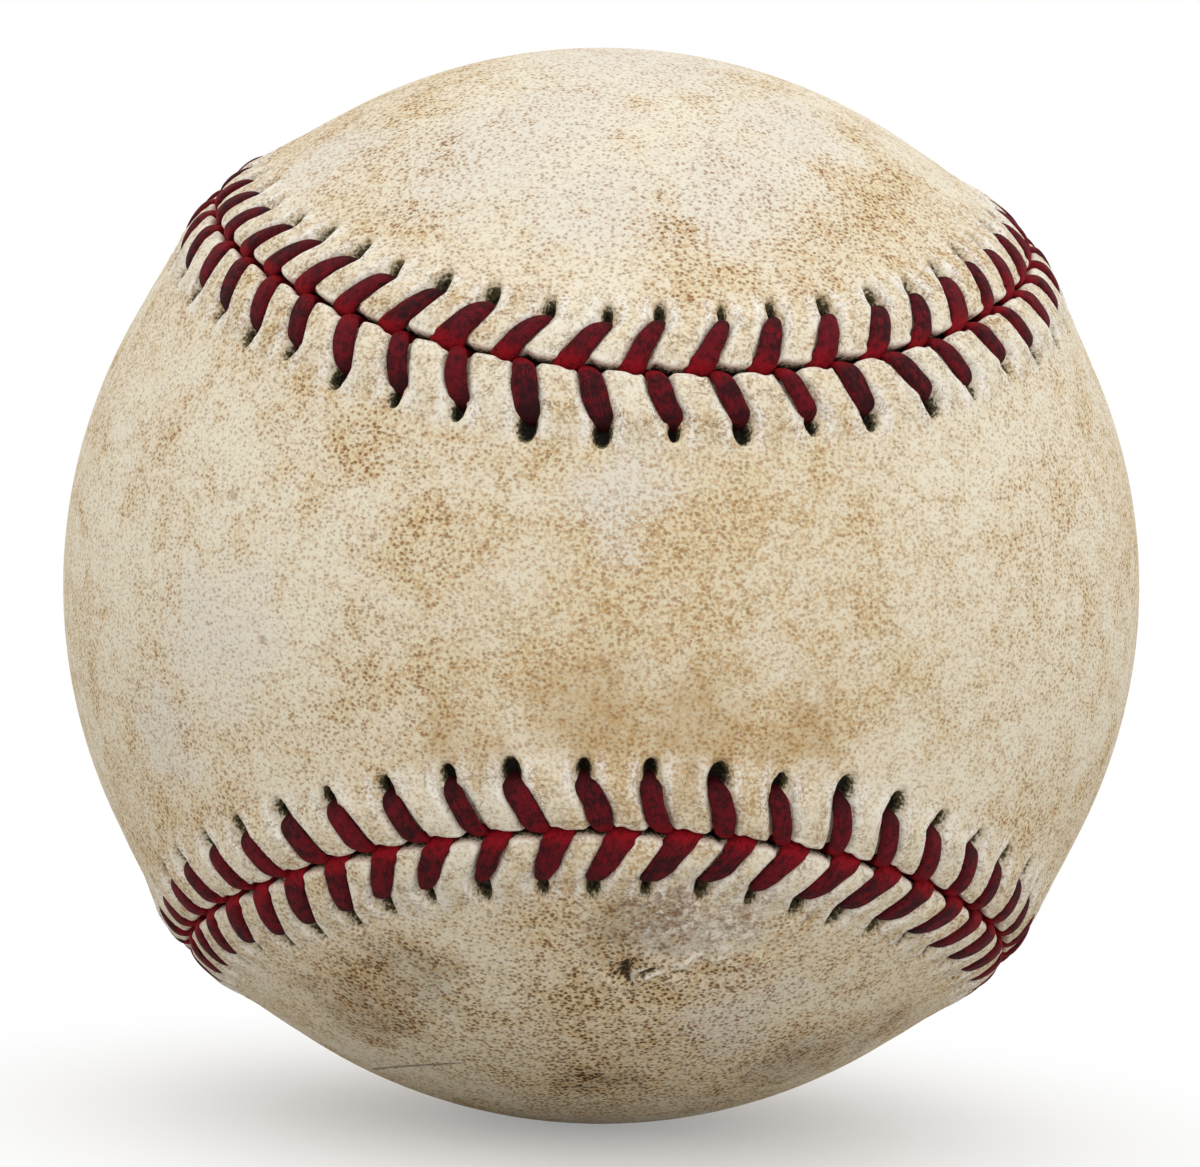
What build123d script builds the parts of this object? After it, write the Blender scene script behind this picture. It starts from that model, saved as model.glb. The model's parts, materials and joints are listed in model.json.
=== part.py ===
from build123d import *
from math import acos, asin, cos, degrees, radians, sin, sqrt, tan
import os

# Baseball: a cushioned cork pill, four wound layers and two laced leather panels.
# Millimetres, +Z up, ball centre at the origin, front panel's waist towards -Y.

# Leather cover
cover_diameter = 73.6
cover_thickness = 1.27
seam_gap = 0.3

# Seam line: the bend round each lobe end, and the width of each panel's waist
waist_width = 27.4
bend_radius = 25.66
bend_sweep = 101.22

# Raised leather beside the seam
shoulder_reach = 9.0
crest_reach = 1.8
crest_rise = 0.5
hole_rise = 0.36
lip_rise = 0.1

# Lacing. The hand-laced stitches drift along the seam by a share of a stitch.
stitch_count = 108
first_stitch = 0.425
stitch_drift = 0.55
drift_centre = 47.4
hole_reach = 3.7
back_row_lead = 0.45
front_lean = 1.05
strand_spacing = 1.15
thread_diameter = 0.8
thread_clearance = 0.08
thread_bend = 0.45
crest_bend = 3.0
tail_share = 0.6

# Wound core, from the middle out
cork_diameter = 20.64
black_rubber_wall = 3.97
washer_thickness = 0.8
red_rubber_wall = 2.38
first_winding_diameter = 62.0
second_winding_diameter = 65.6
finish_winding_wall = 0.8
cement_wall = 0.1
layer_gap = 0.02

# Sizes that follow
cover_radius = cover_diameter / 2
thread_radius = thread_diameter / 2
cover_inside = cover_radius - cover_thickness
cement_radius = cover_inside - layer_gap
finish_radius = cement_radius - cement_wall - layer_gap
third_radius = finish_radius - finish_winding_wall - layer_gap
second_radius = second_winding_diameter / 2
first_radius = first_winding_diameter / 2
cork_radius = cork_diameter / 2
black_radius = cork_radius + layer_gap + black_rubber_wall
red_radius = black_radius + layer_gap + red_rubber_wall
leg_rise_hole = hole_rise + thread_clearance + thread_radius
leg_rise_crest = crest_rise + thread_clearance + thread_radius
leg_rise_seam = (leg_rise_hole + crest_rise + thread_radius) / 2
under_hole = cover_inside + hole_rise - thread_clearance - thread_radius
under_seam = cover_inside + crest_rise - thread_clearance - thread_radius
bed_floor = under_hole - thread_radius - thread_clearance
bed_reach = hole_reach + thread_diameter
hole_radius = thread_radius + 1.5 * thread_clearance
centre = Vector(0, 0, 0)


def turn(vector, axis, angle):
    return vector.rotate(Axis(centre, axis), angle)


def angle_between(first, second):
    return acos(max(-1.0, min(1.0, first.dot(second))))


def across(axis, point):
    return (axis - point * axis.dot(point)).normalized()


# The seam is twelve circular arcs on the sphere. Each is (axis, start, sweep in radians),
# the axis lies on the back panel's side and the seam turns clockwise about it.
def top_lobe():
    waist = asin(waist_width / 2 / cover_radius)
    bend = asin(bend_radius / cover_radius)
    middle = Vector(0, -cos(waist), sin(waist))
    bend_axis = Vector(0, -cos(waist + bend), sin(waist + bend))
    join = turn(middle, bend_axis, bend_sweep / 2)
    cross_over = Vector(1, 0, 1).normalized()
    along = bend_axis.cross(join).normalized()
    side_axis = along.cross(cross_over - join).normalized()
    if across(side_axis, join).dot(across(bend_axis, join)) < 0:
        side_axis = side_axis * -1
    sweep = angle_between(across(join, side_axis), across(cross_over, side_axis))
    mirror_axis = Vector(-side_axis.X, side_axis.Y, side_axis.Z)
    mirror_join = Vector(-join.X, join.Y, join.Z)
    return [
        (side_axis, cross_over, sweep),
        (bend_axis, join, radians(bend_sweep)),
        (mirror_axis, mirror_join, sweep),
    ]


def seam_end(arc):
    axis, start, sweep = arc
    return turn(start, axis, -degrees(sweep))


def seam_arcs():
    top = top_lobe()
    left_cross = Vector(-1, 0, 1).normalized()
    left = []
    for arc in reversed(top):
        axis = turn(arc[0], left_cross, 180) * -1
        left.append((axis, turn(seam_end(arc), left_cross, 180), arc[2]))
    half = top + left
    upright = Vector(0, 1, 0)
    return half + [(turn(a, upright, 180), turn(s, upright, 180), w) for a, s, w in half]


arcs = seam_arcs()
arc_lengths = [cover_radius * sin(angle_between(a, s)) * w for a, s, w in arcs]
seam_length = sum(arc_lengths)
pitch = seam_length / stitch_count


# A point beside the seam: distance along it, distance towards the back panel, radius
def seam_place(along, side, radius):
    along = along % seam_length
    index = 0
    while index < len(arcs) - 1 and along > arc_lengths[index]:
        along -= arc_lengths[index]
        index += 1
    axis, start, sweep = arcs[index]
    point = turn(start, axis, -degrees(sweep) * along / arc_lengths[index])
    lateral = across(axis, point)
    angle = side / cover_radius
    return (point * cos(angle) + lateral * sin(angle)) * radius


# A plane through one arc's axis, its X towards the seam's start and its Y along the axis
def arc_plane(arc):
    axis, start, sweep = arc
    outward = across(start, axis)
    return Plane(origin=centre, x_dir=outward, z_dir=outward.cross(axis))


def along_seam(arc, edges):
    axis, start, sweep = arc
    return revolve(arc_plane(arc) * make_face(edges), Axis(centre, axis * -1), degrees(sweep)).solid()


# Flat walls square to the arc's axis, at least this far from the seam at both radii
def wall_heights(arc, reach, low, high):
    middle = angle_between(arc[0], arc[1])
    front = cos(middle + reach / cover_radius)
    back = cos(middle - reach / cover_radius)
    return min(low * front, high * front), max(low * back, high * back)


def on_circle(radius, height):
    return (sqrt(radius**2 - height**2), height)


# A strip along the seam that cuts a layer from its top down to a floor
def strip(arc, reach, low, top, floor):
    front, back = wall_heights(arc, reach, low, top)
    low_front = on_circle(floor, front)
    low_back = on_circle(floor, back)
    far_front = (1.2 * top, front)
    far_back = (1.2 * top, back)
    edges = [
        ThreePointArc(low_front, on_circle(floor, (front + back) / 2), low_back),
        Line(low_back, far_back),
        Line(far_back, far_front),
        Line(far_front, low_front),
    ]
    return along_seam(arc, edges)


# The raised edge of one panel: its top, its cut edge and its underside, all one thickness
def panel_edge(arc, side):
    axis, start, sweep = arc
    middle = angle_between(axis, start)

    def place(reach, radius):
        angle = middle - side * reach / cover_radius
        return Vector(radius * sin(angle), radius * cos(angle))

    half_way = (shoulder_reach + hole_reach) / 2
    lip = seam_gap / 2
    rises = [
        (shoulder_reach, 0),
        (half_way, 0.42 * hole_rise),
        (hole_reach, hole_rise),
        (crest_reach, crest_rise),
    ]
    upper = [place(u, cover_radius + h) for u, h in rises]
    upper.append(place(0.4 * crest_reach, cover_radius + 0.86 * crest_rise))
    upper.append(place(lip, cover_radius + lip_rise))
    lower = [place(u, cover_inside + h) for u, h in rises]
    lower.append(place(lip, cover_inside + crest_rise))
    inward = place(shoulder_reach - 0.01, cover_radius) - upper[0]
    level = place(lip, cover_radius) - place(lip + 0.01, cover_radius)
    down = place(lip, cover_inside) - place(lip, cover_radius)
    profile = [
        Spline(*upper, tangents=(inward, down), tangent_scalars=(1, 1)),
        Line(upper[-1], lower[-1]),
        Spline(*lower, tangents=(inward, level), tangent_scalars=(1, 1)),
    ]
    spin = Axis(centre, axis * -1)
    return [Face.revolve((arc_plane(arc) * edge).edge(), degrees(sweep), spin) for edge in profile]


# One panel's part of a sphere, up to its shoulders. The sphere's own join lies in the other panel.
def sphere_patch(radius, side):
    if side < 0:
        plane = Plane(origin=centre, x_dir=(0, 1, 0), z_dir=(0, 0, 1))
    else:
        plane = Plane(origin=centre, x_dir=(0, -1, 0), z_dir=(1, 0, 0))
    strips = [strip(arc, shoulder_reach, radius, radius, radius - cover_thickness) for arc in arcs]
    rest = plane * Sphere(radius) - strips
    waist = Vertex(0, side * radius, 0)
    return min(rest.faces(), key=lambda face: face.distance_to(waist))


def leather_panel(side):
    faces = [sphere_patch(cover_radius, side), sphere_patch(cover_inside, side)]
    for arc in arcs:
        faces += panel_edge(arc, side)
    return Solid(Shell(faces))


def ball_layer(outer, inner):
    return Sphere(outer) - Sphere(inner)


# Cuts a strip out along the seam and returns the front and back pieces that are left
def split_layer(outer, inner, reach):
    strips = [strip(arc, reach, inner, outer, inner - cover_thickness) for arc in arcs]
    pieces = (ball_layer(outer, inner) - strips).solids()
    pieces.sort(key=lambda piece: piece.center().Y)
    return pieces[0], pieces[1]


# Cork pill: cork sphere, two rubber half shells with two washers between, rubber jacket
cork_core = Sphere(cork_radius)
black_layer = ball_layer(black_radius, cork_radius + layer_gap)
wide = 2 * cover_diameter
above = Pos(0, 0, washer_thickness) * Box(wide, wide, wide, align=(Align.CENTER, Align.CENTER, Align.MIN))
slab = Box(wide, wide, washer_thickness, align=(Align.CENTER, Align.CENTER, Align.MIN))
black_rubber_upper = black_layer & above
red_washer_upper = black_layer & slab
black_rubber_lower = mirror(black_rubber_upper, about=Plane.XY)
red_washer_lower = mirror(red_washer_upper, about=Plane.XY)
red_rubber_jacket = ball_layer(red_radius, black_radius + layer_gap)

# Windings
first_wool_winding = ball_layer(first_radius, red_radius + layer_gap)
second_wool_winding = ball_layer(second_radius, first_radius + layer_gap)
third_wool_winding = ball_layer(third_radius, second_radius + layer_gap)

# Last winding, with the bed that the lacing presses into it below the seam
beds = [strip(arc, bed_reach, bed_floor, finish_radius, bed_floor) for arc in arcs]
finish_yarn_winding = ball_layer(finish_radius, third_radius + layer_gap) - beds
cement_film_front, cement_film_back = split_layer(
    cement_radius, cement_radius - cement_wall, bed_reach
)

# Cover panels: plain leather inside the shoulders, joined to the raised edges
cover_panel_front = leather_panel(-1)
cover_panel_back = leather_panel(1)


def stitch_along(index):
    drift = stitch_drift * cos(radians(360 * (index - drift_centre) / stitch_count))
    return (index + first_stitch + drift) * pitch


# Where a strand comes up through a panel, and where it goes down the seam
def hole_along(index, side):
    return stitch_along(index) + (back_row_lead if side > 0 else 0)


def down_along(index, side):
    return stitch_along(index) + front_lean + (strand_spacing if side > 0 else 0)


def radial_plane(along, side):
    spot = seam_place(along, side, cover_radius)
    ahead = seam_place(along + 0.1, side, cover_radius) - spot
    outward = spot.normalized()
    return Plane(origin=spot, x_dir=across(ahead, outward), z_dir=outward)


# Stitch holes through a panel, and the opening where each pair of strands goes down
def hole_cutters(side):
    punch = Cylinder(hole_radius, 4 * cover_thickness)
    return [
        radial_plane(hole_along(i, side), side * hole_reach) * punch for i in range(stitch_count)
    ]


def seam_cutters():
    outline = SlotCenterToCenter(strand_spacing, 2 * hole_radius)
    punch = extrude(outline, 2 * cover_thickness, both=True)
    middles = [(down_along(i, -1) + down_along(i, 1)) / 2 for i in range(stitch_count)]
    return [radial_plane(along, 0) * punch for along in middles]


openings = seam_cutters()
cover_panel_front = cover_panel_front - hole_cutters(-1) - openings
cover_panel_back = cover_panel_back - hole_cutters(1) - openings


# A path through points, each corner rounded to its own radius
def rounded_path(points, bends):
    edges = []
    begin = points[0]
    for before, corner, after, bend in zip(points, points[1:], points[2:], bends):
        back = (before - corner).normalized()
        ahead = (after - corner).normalized()
        half = angle_between(back, ahead) / 2
        enter = corner + back * (bend / tan(half))
        leave = corner + ahead * (bend / tan(half))
        middle = corner + (back + ahead).normalized() * (bend / sin(half) - bend)
        edges += [Line(begin, enter), ThreePointArc(enter, middle, leave)]
        begin = leave
    edges.append(Line(begin, points[-1]))
    return Wire([edge.edge() for edge in edges])


# One strand: up a hole, over its panel to the seam, down, and under the other panel
def strand_path(first_side):
    points = []
    bends = []
    side = first_side
    over_share = 1 - crest_reach / hole_reach
    for i in range(stitch_count):
        up = hole_along(i, side)
        down = down_along(i, side)
        crest = up + (down - up) * over_share
        points += [
            seam_place(up, side * hole_reach, under_hole),
            seam_place(up, side * hole_reach, cover_radius + leg_rise_hole),
            seam_place(crest, side * crest_reach, cover_radius + leg_rise_crest),
            seam_place(down, 0, cover_radius + leg_rise_seam),
            seam_place(down, 0, under_seam),
        ]
        bends += [thread_bend, thread_bend, crest_bend, thread_bend, thread_bend]
        side = -side
    last_hole = seam_place(hole_along(stitch_count, first_side), first_side * hole_reach, under_hole)
    points.append(points[-1] + (last_hole - points[-1]) * tail_share)
    return rounded_path(points, bends[1:])


def strand(first_side):
    path = strand_path(first_side)
    return sweep(Plane(origin=path @ 0, z_dir=path % 0) * Circle(thread_radius), path=path)


lacing_strand_first = strand(-1)
lacing_strand_second = strand(1)

pieces = {
    "cork_core": cork_core,
    "black_rubber_upper": black_rubber_upper,
    "black_rubber_lower": black_rubber_lower,
    "red_washer_upper": red_washer_upper,
    "red_washer_lower": red_washer_lower,
    "red_rubber_jacket": red_rubber_jacket,
    "first_wool_winding": first_wool_winding,
    "second_wool_winding": second_wool_winding,
    "third_wool_winding": third_wool_winding,
    "finish_yarn_winding": finish_yarn_winding,
    "cement_film_front": cement_film_front,
    "cement_film_back": cement_film_back,
    "cover_panel_front": cover_panel_front,
    "cover_panel_back": cover_panel_back,
    "lacing_strand_first": lacing_strand_first,
    "lacing_strand_second": lacing_strand_second,
}
os.makedirs("parts", exist_ok=True)
for name, piece in pieces.items():
    export_step(piece, "parts/" + name + ".step")
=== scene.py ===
import json
import math
import bpy
import numpy as np
from mathutils import Matrix, Vector
from mathutils.geometry import delaunay_2d_cdt


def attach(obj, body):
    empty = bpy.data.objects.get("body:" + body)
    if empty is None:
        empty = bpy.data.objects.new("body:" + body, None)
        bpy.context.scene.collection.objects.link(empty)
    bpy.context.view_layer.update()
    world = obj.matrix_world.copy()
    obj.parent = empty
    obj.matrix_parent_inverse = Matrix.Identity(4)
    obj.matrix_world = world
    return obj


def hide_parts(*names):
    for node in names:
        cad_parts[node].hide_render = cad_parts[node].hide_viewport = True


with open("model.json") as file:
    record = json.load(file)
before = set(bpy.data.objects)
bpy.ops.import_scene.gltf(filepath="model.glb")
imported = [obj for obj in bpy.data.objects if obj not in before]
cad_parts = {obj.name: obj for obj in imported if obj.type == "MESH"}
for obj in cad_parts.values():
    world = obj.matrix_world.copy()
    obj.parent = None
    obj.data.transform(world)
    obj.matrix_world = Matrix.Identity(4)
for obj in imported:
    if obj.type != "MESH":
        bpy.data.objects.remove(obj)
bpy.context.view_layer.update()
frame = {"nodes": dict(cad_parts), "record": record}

mm = 0.001  # the sums below are in millimetres, the meshes in metres
print("frame loaded:", len(frame["nodes"]), "nodes")

# the ball and its seam, the same sizes as the CAD
ball = {
    "radius": 36.8,
    "leather": 1.27,
    "waist": 27.4,  # across each panel's waist, seam to seam
    "bendRadius": 25.66,
    "bendSweep": 101.22,  # degrees
    "shoulder": 9.0,  # the raised seam ends this far from its middle
    "crestReach": 1.8,
    "crestRise": 0.5,
    "holeReach": 3.7,
    "holeRise": 0.36,
}
ballRadius = ball["radius"]
front, back = -1, 1  # the two panels, by the sign of the distance from the seam


def unit(v):
    return v / np.linalg.norm(v, axis=-1, keepdims=True)


def sideways(axis, point):
    return unit(axis - point * np.dot(axis, point))


def turned(v, axis, angle):  # v about axis, for one angle or an array of them
    angle = np.asarray(angle, float)[..., None]
    return (
        v * np.cos(angle)
        + np.cross(axis, v) * np.sin(angle)
        + axis * np.dot(axis, v) * (1 - np.cos(angle))
    )


def smooth(low, high, x):  # smooth rise from 0 to 1 between two values
    t = np.clip((x - low) / (high - low), 0, 1)
    return t * t * (3 - 2 * t)


def onBall(right, up, behind=False):  # a point of the leather, as it is seen from the front
    depth = math.sqrt(ballRadius**2 - right**2 - up**2)
    return (right, depth if behind else -depth, up)


def makeSeamArcs():  # axis, start and sweep of the seam's 12 arcs
    waist = math.asin(ball["waist"] / 2 / ballRadius)
    bend = math.asin(ball["bendRadius"] / ballRadius)
    sweep = math.radians(ball["bendSweep"])
    middle = np.array([0, -math.cos(waist), math.sin(waist)])
    bendAxis = np.array([0, -math.cos(waist + bend), math.sin(waist + bend)])
    join = turned(middle, bendAxis, sweep / 2)
    rightCross = unit(np.array([1.0, 0, 1]))
    leftCross = unit(np.array([-1.0, 0, 1]))
    sideAxis = unit(np.cross(np.cross(bendAxis, join), rightCross - join))
    if np.dot(sideways(sideAxis, join), sideways(bendAxis, join)) < 0:
        sideAxis = -sideAxis
    sideSweep = math.acos(np.dot(sideways(join, sideAxis), sideways(rightCross, sideAxis)))
    flip = np.array([-1, 1, 1])
    top = [
        (sideAxis, rightCross, sideSweep),
        (bendAxis, join, sweep),
        (sideAxis * flip, join * flip, sideSweep),
    ]
    left = []  # the same arcs turned half round about the left crossing
    for axis, start, angle in reversed(top):
        end = turned(start, axis, -angle)
        left.append((-turned(axis, leftCross, math.pi), turned(end, leftCross, math.pi), angle))
    half = top + left
    turn = np.array([-1, 1, -1])
    return half + [(axis * turn, start * turn, angle) for axis, start, angle in half]


seamArcs = makeSeamArcs()
arcLengths = np.array(
    [ballRadius * math.sqrt(1 - np.dot(axis, start) ** 2) * angle for axis, start, angle in seamArcs]
)
arcEnds = np.cumsum(arcLengths)
seamLength = arcLengths.sum()


def seamFrame(along):  # unit point on the seam, direction to the back panel, direction of travel
    along = np.mod(np.asarray(along, float), seamLength)
    which = np.minimum(np.searchsorted(arcEnds, along, side="right"), len(seamArcs) - 1)
    point = np.zeros(along.shape + (3,))
    toBack = np.zeros_like(point)
    for i, (axis, start, sweep) in enumerate(seamArcs):
        here = which == i
        if not here.any():
            continue
        share = (along[here] - (arcEnds[i] - arcLengths[i])) / arcLengths[i]
        p = turned(start, axis, -sweep * share)
        point[here] = p
        toBack[here] = unit(axis - p * (p @ axis)[..., None])
    return point, toBack, np.cross(point, toBack)


def seamPlace(along, reach, radius):  # points beside the seam
    point, toBack = seamFrame(along)[:2]
    angle = (np.asarray(reach, float) / ballRadius)[..., None]
    return (point * np.cos(angle) + toBack * np.sin(angle)) * np.asarray(radius, float)[..., None]


# the lacing: where each stitch comes up and goes down, with a hand-laced unevenness
lacing = {
    "stitches": 108,
    "first": 0.425,  # the first stitch's place, in stitches
    "drift": 0.55,  # slow wander along the seam, in stitches
    "driftCentre": 47.4,
    "backLead": 0.45,  # the back row's holes lead the front row's
    "frontLean": 1.05,
    "spacing": 1.15,  # from the front leg's way down to the back leg's
    "seed": 11,
    "unevenAlong": 0.16,
    "unevenLimit": 0.35,
    # middle, deviation, lowest and highest
    "reachDraw": (0, 0.14, -0.3, 0.3),
    "bowDraw": (0.1, 0.1, -1, 1),
    "widthDraw": (1, 0.09, 0.8, 1.2),
    "pillowDraw": (1, 0.2, 0.55, 1.4),
    "slitDraw": (1, 0.15, 0.7, 1.35),
    "entry": 0.48,  # the thread goes down this far before the hole's middle
    "halfWidth": 0.7,
    "halfThick": 0.3,
    "roundHalf": 0.42,  # where the thread is out of sight
    "flatness": 2.7,  # 2 is an ellipse, more is flatter
    "ringPoints": 16,
    "stepsPerKey": 2,
    "seamCut": 0.9,  # how far each leg's seam end turns to lie along the seam
    "cutReach": (0.2, 1.3),
    "cutHeight": (-0.8, -0.2),
    "leastSquare": 0.6,
    "widthRipple": 0.045,
    # rise, turns round the thread, turn per millimetre and start of the twisted plies
    "plies": ((0.04, 3, 1.1, 0.0), (0.03, 7, -0.9, 1.3)),
    # the front legs tuck in under the back ones, whose flat thread fans out along the seam
    "legShape": {
        front: {"point": 0.97, "waist": 0.94, "head": 0.74, "tip": 0.6, "drop": 0.1, "pull": 0.2},
        back: {"point": 0.74, "waist": 1.04, "head": 1.2, "tip": 1.3, "drop": 0.0, "pull": 0.22},
    },
    "hiddenRun": ((0.12, -1.12), (0.4, -1.3), (0.75, -1.42), (0.95, -1.5)),  # share of the way, height
    "hiddenSoil": 0.5,
}
stitchCount = lacing["stitches"]
pitch = seamLength / stitchCount
lacingDraw = np.random.default_rng(lacing["seed"])


def drawn(key):
    middle, deviation, low, high = lacing[key]
    return lacingDraw.normal(middle, deviation, stitchCount).clip(low, high)


def drawStitches():
    index = np.arange(stitchCount)
    drift = lacing["drift"] * np.cos(2 * np.pi * (index - lacing["driftCentre"]) / stitchCount)
    along = (index + lacing["first"] + drift) * pitch
    limit = lacing["unevenLimit"]
    found = {}
    for side in (front, back):
        uneven = lacingDraw.normal(0, lacing["unevenAlong"], (2, stitchCount)).clip(-limit, limit)
        lead = lacing["backLead"] if side == back else 0
        extra = lacing["spacing"] if side == back else 0
        found[side] = {
            "hole": along + lead + uneven[0],
            "down": along + lacing["frontLean"] + extra + 0.5 * uneven[1],
            "reach": ball["holeReach"] + drawn("reachDraw"),
            "bow": drawn("bowDraw"),
            "width": drawn("widthDraw"),
            "pillow": drawn("pillowDraw"),
            "slit": drawn("slitDraw"),
            "soil": np.random.default_rng(lacing["seed"] + side).uniform(0, 1, stitchCount),
        }
    return found


stitches = drawStitches()


def legAlong(side, reach):  # every leg's place along the seam at one distance from it
    rows = stitches[side]
    share = np.clip(1 - reach / (rows["reach"] - lacing["entry"]), 0, 1)
    return rows["hole"] + (rows["down"] - rows["hole"]) * share + rows["bow"] * np.sin(np.pi * share)


def nearestLegs(along, legs):  # gaps to the leg before and after, the nearer leg and the leg before
    order = np.argsort(legs)
    sortedLegs = legs[order]
    wrapped = np.concatenate([sortedLegs[-2:] - seamLength, sortedLegs, sortedLegs[:2] + seamLength])
    number = np.concatenate([order[-2:], order, order[:2]])
    after = np.clip(np.searchsorted(wrapped, along, side="right"), 1, len(wrapped) - 1)
    gapBefore = along - wrapped[after - 1]
    gapAfter = wrapped[after] - along
    nearer = np.where(gapBefore < gapAfter, number[after - 1], number[after])
    return gapBefore, gapAfter, nearer, number[after - 1]


print("seam", round(seamLength, 1), "mm with", stitchCount, "stitches")

# the leather panels; a pair of values without a note is where a smooth change starts and ends
cover = {
    "alongSteps": 26,  # mesh steps per stitch
    # the leather's height over the ball, by distance from the seam
    "ridgeReach": (0.0, 0.7, ball["crestReach"], ball["holeReach"], 6.4, ball["shoulder"], 40),
    "ridgeRise": (0.40, 0.46, ball["crestRise"], ball["holeRise"], 0.14, 0, 0),
    "gap": 0.19,  # half the gap between the two cut edges
    "ownDraw": (0.46, 0.6),  # the cut edge draws back at its own legs: depth, half width
    "otherDraw": (0.22, 0.42),
    "mostDraw": 0.5,
    "edgeRipple": 0.035,
    "lip": 0.27,
    "lipReach": 0.5,
    "lipHighest": 0.8,
    "lipDrop": 0.08,
    "lipAngles": (0, 22, 44, 66, 90),
    # the lip's white from rubbing is partly a painted highlight on its rounded edge
    "lipCleanAndHighlight": 0.55,
    "lipJoin": (0.5, 1.1),
    "lipPush": 0.1,
    "pillowRise": 0.34,
    "pillowSquare": 3.8,
    "pillowFade": (2.5, 5.2),
    "legShare": {front: 0.955, back: 0.89},  # a leaning leg's true distance
    "grooveDepth": 0.3,  # under the thread, below the ridge
    "grooveSide": (0.42, 1.0),
    "grooveFade": (3.0, 4.4),
    "slitDepth": 1.0,
    "slitOffset": 0.2,
    "slitAcross": 0.9,
    "slitAlong": {front: 0.53, back: 0.54},
    "slitSide": (0.45, 1.12),
    "slitShade": {front: 1.0, back: 0.82},
    "rim": (0.06, 1.45, 0.35),  # rise, place and width round a slit
    "flank": (0.88, 0.3),  # white from rubbing, and painted highlight, beside the thread: place and width
    "flankRise": (1.4, 2.8),
    # the white from rubbing and the painted highlight fade out here
    "cleanAndHighlightEnd": (4.0, 5.6),
    "bandFade": (3.4, 5.6),
    "wrinkle": 0.05,
    "wrinkleWaves": ((150, 5), (47, 6)),  # scale and seed
    "rowReaches": (
        0.66, 0.84, 1.04, 1.26, 1.5, 1.76, 2.02, 2.28, 2.54, 2.78, 2.98, 3.16, 3.34, 3.52, 3.7, 3.88,
        4.06, 4.26, 4.48, 4.74, 5.06, 5.46,
    ),
    "coarserRow": 5.95,
    "bandEnd": 6.4,  # the fine mesh beside the seam ends here
    "underRows": ((1.0, 2), (2.2, 4), (4.2, 4)),  # reach and coarseness
    "fillSpacing": 1.15,
    "underSpacing": 3.0,
}
# a scuffed, torn place: its short strokes are right, up, right, up and half width, from the nick
tear = {
    "nick": (0.1, -28.7, -23.0),
    "upward": (0.0, -0.624, 0.781),  # along the leather
    "line": ((0.2, -28.7, -23.0), (4.1, -29.4, -21.7), (8.4, -29.2, -20.7)),
    "cracks": (
        (0.15, 0.9, 0.05, 0.3, 0.2),
        (0.05, 0.3, 0.12, -0.4, 0.4),
        (0.12, -0.4, 0.45, -0.95, 0.17),
        (0.0, -0.1, -0.8, -0.6, 0.15),
        (1.1, -0.15, 1.7, 0.2, 0.18),
        (1.7, 0.2, 2.3, 0.3, 0.12),
        (2.9, -0.2, 3.7, 0.0, 0.12),
    ),
    "fibres": (
        (0.95, -1.1, 0.5, -0.5, 0.14),
        (0.5, -0.5, 0.62, 0.2, 0.16),
        (0.62, 0.2, 1.3, 0.5, 0.14),
        (1.4, -0.3, 2.1, 0.0, 0.14),
        (3.5, 0.5, 4.3, 1.3, 0.18),
        (4.3, 1.3, 5.0, 1.4, 0.16),
        (5.4, 0.85, 6.5, 1.1, 0.15),
        (6.0, 1.6, 6.4, 1.8, 0.3),
    ),
    "flap": (1.05, -0.35, 0.6, 0.5, 0.3),  # right, up, half width, half height, rise
    "depth": 0.55,
    "fibreRise": 0.14,
    "roughness": 0.11,
    "roughWave": (110, 22),  # scale and seed
    "farthest": 12,  # nothing is torn beyond this
    "scuffReach": 4.4,
    "scuffSpacing": 0.26,
    "scuffBelt": (-0.85, -0.4),  # lowest and highest, in ball radii
    "lineReach": 1.4,
    "lineSpacing": 0.1,
    "lineBelt": (-0.75, -0.5),
}


def ridge(reach):
    return np.interp(reach, cover["ridgeReach"], cover["ridgeRise"])


def wave(p, scale, seed):  # a cheap smooth noise on unit vectors, about -1 to 1
    waveDraw = np.random.default_rng(seed)
    total = np.zeros(p.shape[:-1])
    for k in range(7):
        direction = unit(waveDraw.normal(size=3))
        total += np.sin(p @ direction * scale * waveDraw.uniform(0.6, 1.5) + waveDraw.uniform(0, 6.28))
    return total / 3.2


def bell(x, width):
    return np.exp(-((x / width) ** 2))


def leatherTop(side, along, reach):  # height, painted hole shade, and white from rubbing with painted highlight, at one distance from the seam
    rows = stitches[side]
    before, after, near, first = nearestLegs(along, legAlong(side, reach))
    gap = np.minimum(before, after)
    beside = gap * cover["legShare"][side]
    crown = 1 - np.abs(2 * before / (before + after) - 1) ** cover["pillowSquare"]
    pillow = cover["pillowRise"] * rows["pillow"][first] * crown * (1 - smooth(*cover["pillowFade"], reach))
    groove = (pillow + cover["grooveDepth"]) * (1 - smooth(*cover["grooveSide"], beside))
    groove = groove * (1 - smooth(*cover["grooveFade"], reach))
    slit = rows["slit"][near]
    slitAcross = (reach - rows["reach"][near] - cover["slitOffset"]) / (cover["slitAcross"] * slit)
    slitAlong = gap / (cover["slitAlong"][side] * slit)
    away = np.hypot(slitAcross, slitAlong)
    pit = 1 - smooth(*cover["slitSide"], away)
    rimRise, rimPlace, rimWidth = cover["rim"]
    rim = rimRise * bell(away - rimPlace, rimWidth)
    height = ridge(reach) + pillow - groove + rim - cover["slitDepth"] * pit
    # white on the groove's flanks: leather worn by rubbing, and a painted highlight
    flankPlace, flankWidth = cover["flank"]
    flank = bell(beside - flankPlace, flankWidth) * (0.35 + 0.65 * smooth(*cover["flankRise"], reach))
    cleanAndHighlight = (1 - smooth(*cover["cleanAndHighlightEnd"], reach)) * (0.08 + 0.82 * flank)
    return height, pit * cover["slitShade"][side], cleanAndHighlight


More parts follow.
